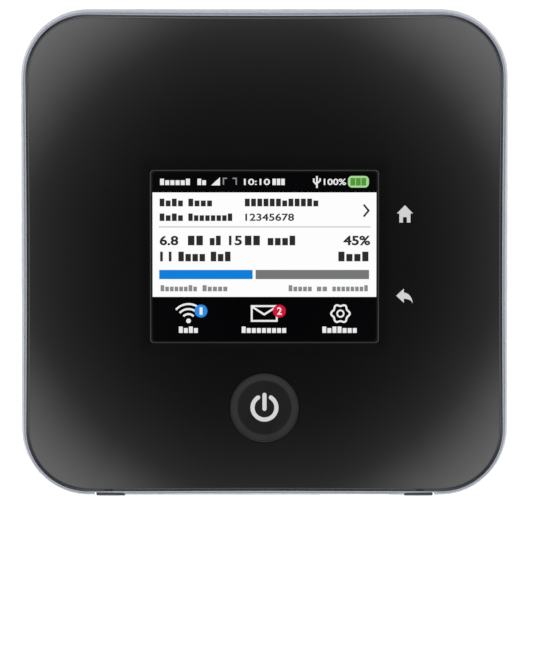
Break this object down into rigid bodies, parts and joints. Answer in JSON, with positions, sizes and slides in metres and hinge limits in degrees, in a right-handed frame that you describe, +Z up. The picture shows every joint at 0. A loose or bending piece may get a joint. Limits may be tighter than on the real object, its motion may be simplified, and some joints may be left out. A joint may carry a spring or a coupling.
{
  "type": "mobile hotspot",
  "caption": "Flat rounded-square mobile hotspot with a small colour display, round power key, touch keys, front sockets with rubber aerial flaps and a removable battery.",
  "frame": {"origin": "centre of the plan at the level of the feet's soles", "axes": "+Z up out of the display, -Y out of the face with the sockets, +X to the right seen from the sockets' side with the display up"},
  "size_m": [0.1054, 0.1059, 0.0203],
  "materials": {
    "black_cover": "black moulded polycarbonate with a satin soft-feel lacquer",
    "window_glass": "gloss black printed display window",
    "band_paint": "blue-grey metallic satin paint on moulded plastic",
    "dark_plastic": "black moulded plastic",
    "grey_plastic": "grey moulded plastic, fine grain",
    "rubber": "matt black silicone rubber",
    "white_inlay": "white translucent moulded inlay",
    "board_green": "green solder mask on glass laminate",
    "tinplate": "drawn tin-plated sheet",
    "steel": "zinc-plated steel",
    "gold_plate": "gold-plated copper alloy",
    "graphite": "pressed graphite sheet",
    "cast_magnesium": "die-cast magnesium, as cast",
    "polyimide": "amber polyimide film",
    "lcd_glass": "lit display glass",
    "battery_wrap": "black printed film round a pouch cell"
  },
  "bodies": {
    "housing": {"back_key_lens": "white_inlay", "back_left_screw": "steel", "back_right_screw": "steel", "battery_connector": "dark_plastic", "battery_contacts": "gold_plate", "display_window": "window_glass", "front_left_screw": "steel", "front_right_screw": "steel", "heat_spreader": "graphite", "home_key_lens": "white_inlay", "inner_chassis": "cast_magnesium", "key_board": "board_green", "key_ribbon": "polyimide", "lan_contacts": "gold_plate", "lan_jack_housing": "dark_plastic", "lan_jack_shield": "tinplate", "lcd_backlight": "tinplate", "lcd_gasket": "rubber", "lcd_panel": "lcd_glass", "lcd_ribbon": "polyimide", "left_aerial_contact": "gold_plate", "left_aerial_sleeve": "dark_plastic", "left_aerial_socket": "gold_plate", "left_cellular_antenna": "polyimide", "left_flap_anchor": "rubber", "left_wifi_antenna": "polyimide", "lower_housing": "dark_plastic", "main_board": "board_green", "memory_card_socket": "tinplate", "modem_shield": "tinplate", "power_switch": "tinplate", "processor_shield": "tinplate", "radio_shield": "tinplate", "reset_switch": "tinplate", "right_aerial_contact": "gold_plate", "right_aerial_sleeve": "dark_plastic", "right_aerial_socket": "gold_plate", "right_cellular_antenna": "polyimide", "right_flap_anchor": "rubber", "right_wifi_antenna": "polyimide", "side_band": "band_paint", "sim_socket": "tinplate", "top_cover": "black_cover", "usb_a_shell": "tinplate", "usb_a_tongue": "dark_plastic", "usb_c_shell": "tinplate", "usb_c_tongue": "dark_plastic"},
    "power_button": {"power_button": "black_cover", "power_ring_inlay": "white_inlay", "power_bar_inlay": "white_inlay", "power_switch_plunger": "dark_plastic"},
    "left_flap": {"left_flap": "rubber"},
    "right_flap": {"right_flap": "rubber"},
    "battery_door": {"battery_door": "grey_plastic", "front_left_foot": "rubber", "front_right_foot": "rubber", "back_left_foot": "rubber", "back_right_foot": "rubber"},
    "battery": {"battery_pack": "battery_wrap"},
    "reset_button": {"reset_button": "dark_plastic"}
  },
  "joints": [
    {"name": "power_press", "type": "slide", "parent": "housing", "child": "power_button", "axis": [0, 0, -1], "range_m": [0, 0.0004], "stiffness_N_per_m": 2000},
    {"name": "left_flap_hinge", "type": "hinge", "parent": "housing", "child": "left_flap", "pos_m": [-0.0335, -0.0526, 0.0089], "axis": [-1, 0, 0], "range_deg": [0, 178]},
    {"name": "right_flap_hinge", "type": "hinge", "parent": "housing", "child": "right_flap", "pos_m": [0.0335, -0.0526, 0.0089], "axis": [-1, 0, 0], "range_deg": [0, 178]},
    {"name": "door_release", "type": "slide", "parent": "housing", "child": "battery_door", "axis": [0, 0, -1], "range_m": [0, 0.04]},
    {"name": "battery_release", "type": "slide", "parent": "housing", "child": "battery", "axis": [0, 0, -1], "range_m": [0, 0.02]},
    {"name": "reset_press", "type": "slide", "parent": "housing", "child": "reset_button", "axis": [0, 0, 1], "range_m": [0, 0.00025], "stiffness_N_per_m": 2000}
  ],
  "couplings": [
    {"joint": "battery_release", "follows": "door_release", "ratio": 0.5}
  ]
}
